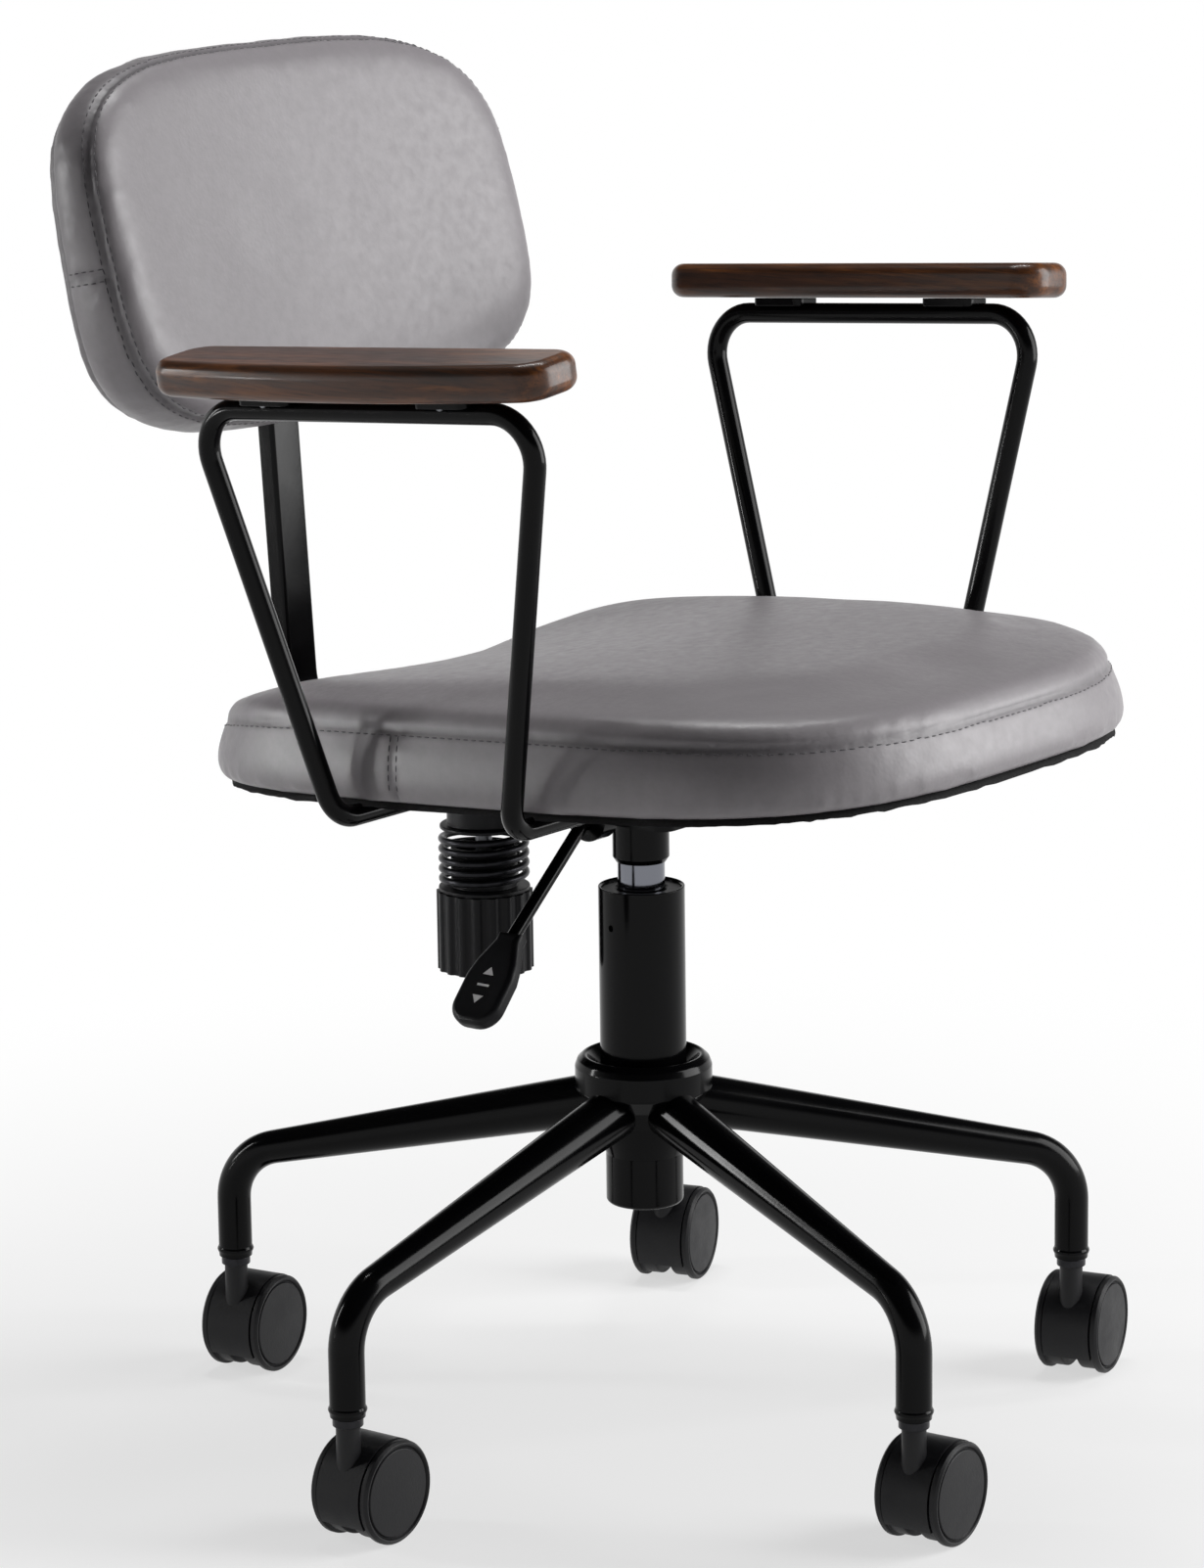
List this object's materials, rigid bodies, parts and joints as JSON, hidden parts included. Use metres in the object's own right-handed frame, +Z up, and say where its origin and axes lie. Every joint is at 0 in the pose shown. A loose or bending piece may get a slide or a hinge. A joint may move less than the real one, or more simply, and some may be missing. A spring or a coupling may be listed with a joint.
{
  "type": "swivel office chair",
  "caption": "Swivel task chair: padded seat and backrest, tube arm loops with wooden pads, gas lift, tilt spring with knob, and a bent-leg base on twin-wheel casters.",
  "frame": {"origin": "on the swivel axis at floor level, under the middle of the base", "axes": "+Z up along the gas lift, -Y the way the sitter faces, +X to the sitter's left"},
  "size_m": [0.5557, 0.5866, 0.8144],
  "materials": {
    "powder_coat": "gloss black powder coat",
    "nylon": "matte black nylon",
    "plastic": "satin black",
    "chrome": "mirror chrome",
    "steel": "bright zinc-plated steel",
    "spring_steel": "blackened wire",
    "leatherette": "smooth grey leatherette, satin",
    "walnut": "lacquered dark walnut",
    "plywood": "raw plywood",
    "dust_cloth": "black non-woven cloth"
  },
  "bodies": {
    "base": {"base_hub": "powder_coat", "base_leg_1": "powder_coat", "base_leg_2": "powder_coat", "base_leg_3": "powder_coat", "base_leg_4": "powder_coat", "base_leg_5": "powder_coat", "lift_outer_tube": "powder_coat", "lift_guide_bush": "plastic", "lift_thrust_bearing": "steel"},
    "lift_rod": {"lift_piston_rod": "steel", "lift_rod_clip": "steel"},
    "seat": {"lift_cylinder": "chrome", "lift_rod_guide": "plastic", "mechanism_housing": "powder_coat", "seat_plate": "powder_coat", "back_pivot_pin": "steel", "tension_bolt": "steel", "tension_washer": "plastic", "tension_spring": "spring_steel", "seat_board": "plywood", "seat_cushion": "leatherette", "seat_dust_cover": "dust_cloth", "arm_loop_left": "powder_coat", "arm_loop_right": "powder_coat", "arm_pad_left": "walnut", "arm_pad_right": "walnut"},
    "release_pin": {"lift_release_pin": "steel"},
    "height_lever": {"lever_rod": "powder_coat", "lever_grip": "plastic"},
    "backrest": {"back_bar": "powder_coat", "spring_cap": "plastic", "back_board": "plywood", "back_cushion": "leatherette"},
    "knob": {"tension_knob": "plastic"},
    "caster_1": {"caster_hood_1": "nylon", "caster_stem_1": "steel", "caster_axle_1": "steel"},
    "wheel_1_near": {"caster_wheel_1_near": "nylon"},
    "wheel_1_far": {"caster_wheel_1_far": "nylon"},
    "caster_2": {"caster_hood_2": "nylon", "caster_stem_2": "steel", "caster_axle_2": "steel"},
    "wheel_2_near": {"caster_wheel_2_near": "nylon"},
    "wheel_2_far": {"caster_wheel_2_far": "nylon"},
    "caster_3": {"caster_hood_3": "nylon", "caster_stem_3": "steel", "caster_axle_3": "steel"},
    "wheel_3_near": {"caster_wheel_3_near": "nylon"},
    "wheel_3_far": {"caster_wheel_3_far": "nylon"},
    "caster_4": {"caster_hood_4": "nylon", "caster_stem_4": "steel", "caster_axle_4": "steel"},
    "wheel_4_near": {"caster_wheel_4_near": "nylon"},
    "wheel_4_far": {"caster_wheel_4_far": "nylon"},
    "caster_5": {"caster_hood_5": "nylon", "caster_stem_5": "steel", "caster_axle_5": "steel"},
    "wheel_5_near": {"caster_wheel_5_near": "nylon"},
    "wheel_5_far": {"caster_wheel_5_far": "nylon"}
  },
  "joints": [
    {"name": "seat_swivel", "type": "hinge", "parent": "base", "child": "lift_rod", "pos_m": [0, 0, 0.15], "axis": [0, 0, 1], "continuous": true},
    {"name": "seat_lift", "type": "slide", "parent": "lift_rod", "child": "seat", "axis": [0, 0, 1], "range_m": [0, 0.09]},
    {"name": "height_lever_press", "type": "hinge", "parent": "seat", "child": "height_lever", "pos_m": [-0.045, 0, 0.38691], "axis": [0, 1, 0], "range_deg": [0, 5], "stiffness_Nm_per_rad": 2, "springref_deg": -5.73},
    {"name": "release_pin_press", "type": "slide", "parent": "seat", "child": "release_pin", "axis": [0, 0, -1], "range_m": [0, 0.004]},
    {"name": "back_tilt", "type": "hinge", "parent": "seat", "child": "backrest", "pos_m": [0, 0.068, 0.3926], "axis": [-1, 0, 0], "range_deg": [0, 8], "stiffness_Nm_per_rad": 150, "springref_deg": -14.32, "deforming": ["tension_spring"]},
    {"name": "knob_turn", "type": "hinge", "parent": "seat", "child": "knob", "pos_m": [0, 0.1192, 0.29], "axis": [0, 0, 1], "range_deg": [0, 540]},
    {"name": "caster_1_swivel", "type": "hinge", "parent": "base", "child": "caster_1", "pos_m": [0.22144, 0.15448, 0.07], "axis": [0, 0, 1], "continuous": true},
    {"name": "wheel_1_near_spin", "type": "hinge", "parent": "caster_1", "child": "wheel_1_near", "pos_m": [0.23966, 0.15988, 0.03001], "axis": [-0.284, 0.9588, 0], "continuous": true},
    {"name": "wheel_1_far_spin", "type": "hinge", "parent": "caster_1", "child": "wheel_1_far", "pos_m": [0.23966, 0.15988, 0.03001], "axis": [-0.284, 0.9588, 0], "continuous": true},
    {"name": "caster_2_swivel", "type": "hinge", "parent": "base", "child": "caster_2", "pos_m": [-0.07849, 0.25834, 0.07], "axis": [0, 0, 1], "continuous": true},
    {"name": "wheel_2_near_spin", "type": "hinge", "parent": "caster_2", "child": "wheel_2_near", "pos_m": [-0.0597, 0.26115, 0.03001], "axis": [-0.1478, 0.989, 0], "continuous": true},
    {"name": "wheel_2_far_spin", "type": "hinge", "parent": "caster_2", "child": "wheel_2_far", "pos_m": [-0.0597, 0.26115, 0.03001], "axis": [-0.1478, 0.989, 0], "continuous": true},
    {"name": "caster_3_swivel", "type": "hinge", "parent": "base", "child": "caster_3", "pos_m": [-0.26995, 0.00518, 0.07], "axis": [0, 0, 1], "continuous": true},
    {"name": "wheel_3_near_spin", "type": "hinge", "parent": "caster_3", "child": "wheel_3_near", "pos_m": [-0.25096, 0.00568, 0.03001], "axis": [-0.0262, 0.9997, 0], "continuous": true},
    {"name": "wheel_3_far_spin", "type": "hinge", "parent": "caster_3", "child": "wheel_3_far", "pos_m": [-0.25096, 0.00568, 0.03001], "axis": [-0.0262, 0.9997, 0], "continuous": true},
    {"name": "caster_4_swivel", "type": "hinge", "parent": "base", "child": "caster_4", "pos_m": [-0.08835, -0.25514, 0.07], "axis": [0, 0, 1], "continuous": true},
    {"name": "wheel_4_near_spin", "type": "hinge", "parent": "caster_4", "child": "wheel_4_near", "pos_m": [-0.06939, -0.25381, 0.03001], "axis": [-0.0698, 0.9976, 0], "continuous": true},
    {"name": "wheel_4_far_spin", "type": "hinge", "parent": "caster_4", "child": "wheel_4_far", "pos_m": [-0.06939, -0.25381, 0.03001], "axis": [-0.0698, 0.9976, 0], "continuous": true},
    {"name": "caster_5_swivel", "type": "hinge", "parent": "base", "child": "caster_5", "pos_m": [0.21535, -0.16287, 0.07], "axis": [0, 0, 1], "continuous": true},
    {"name": "wheel_5_near_spin", "type": "hinge", "parent": "caster_5", "child": "wheel_5_near", "pos_m": [0.23386, -0.15859, 0.03001], "axis": [-0.225, 0.9744, 0], "continuous": true},
    {"name": "wheel_5_far_spin", "type": "hinge", "parent": "caster_5", "child": "wheel_5_far", "pos_m": [0.23386, -0.15859, 0.03001], "axis": [-0.225, 0.9744, 0], "continuous": true}
  ],
  "couplings": [
    {"joint": "release_pin_press", "follows": "height_lever_press", "m_per_rad": 0.045}
  ]
}
